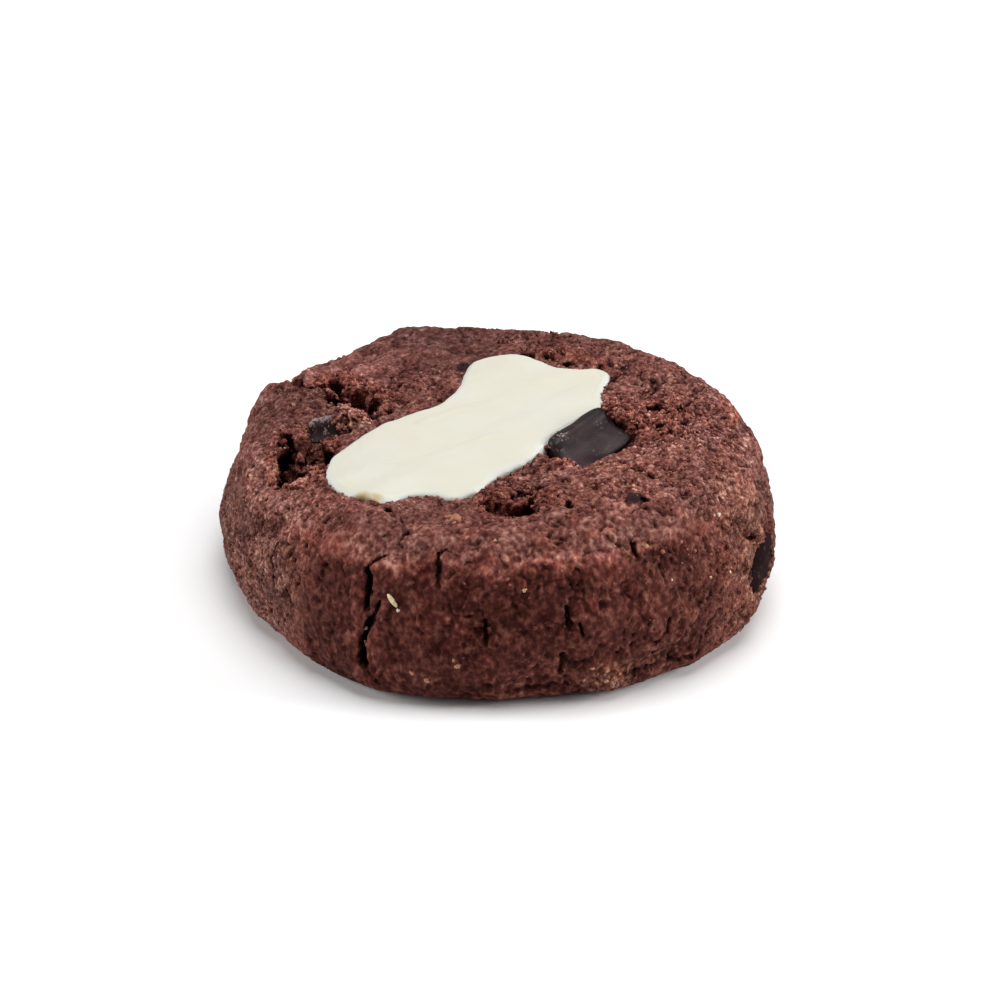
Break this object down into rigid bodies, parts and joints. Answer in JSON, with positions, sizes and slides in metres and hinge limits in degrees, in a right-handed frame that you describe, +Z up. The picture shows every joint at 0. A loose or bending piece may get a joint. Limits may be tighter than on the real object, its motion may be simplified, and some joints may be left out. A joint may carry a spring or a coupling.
{
  "type": "chocolate cookie",
  "caption": "Thick round chocolate cookie with cracked crumbly dough, a set pool of white chocolate in its top and dark chocolate chunks.",
  "frame": {"origin": "middle of the flat base of the cookie's bounding box", "axes": "+Z up out of the face with the white chocolate, -Y towards the front wall with the long crack, +X to the right"},
  "size_m": [0.0708, 0.0686, 0.0238],
  "materials": {
    "dough": "matte baked crumb",
    "white_chocolate": "satin",
    "dark_chocolate": "satin"
  },
  "bodies": {
    "root": {"cookie": "dough", "white_chocolate": "white_chocolate", "dark_chunk_top": "dark_chocolate", "dark_chunk_left": "dark_chocolate", "dark_chunk_side": "dark_chocolate"}
  },
  "joints": []
}
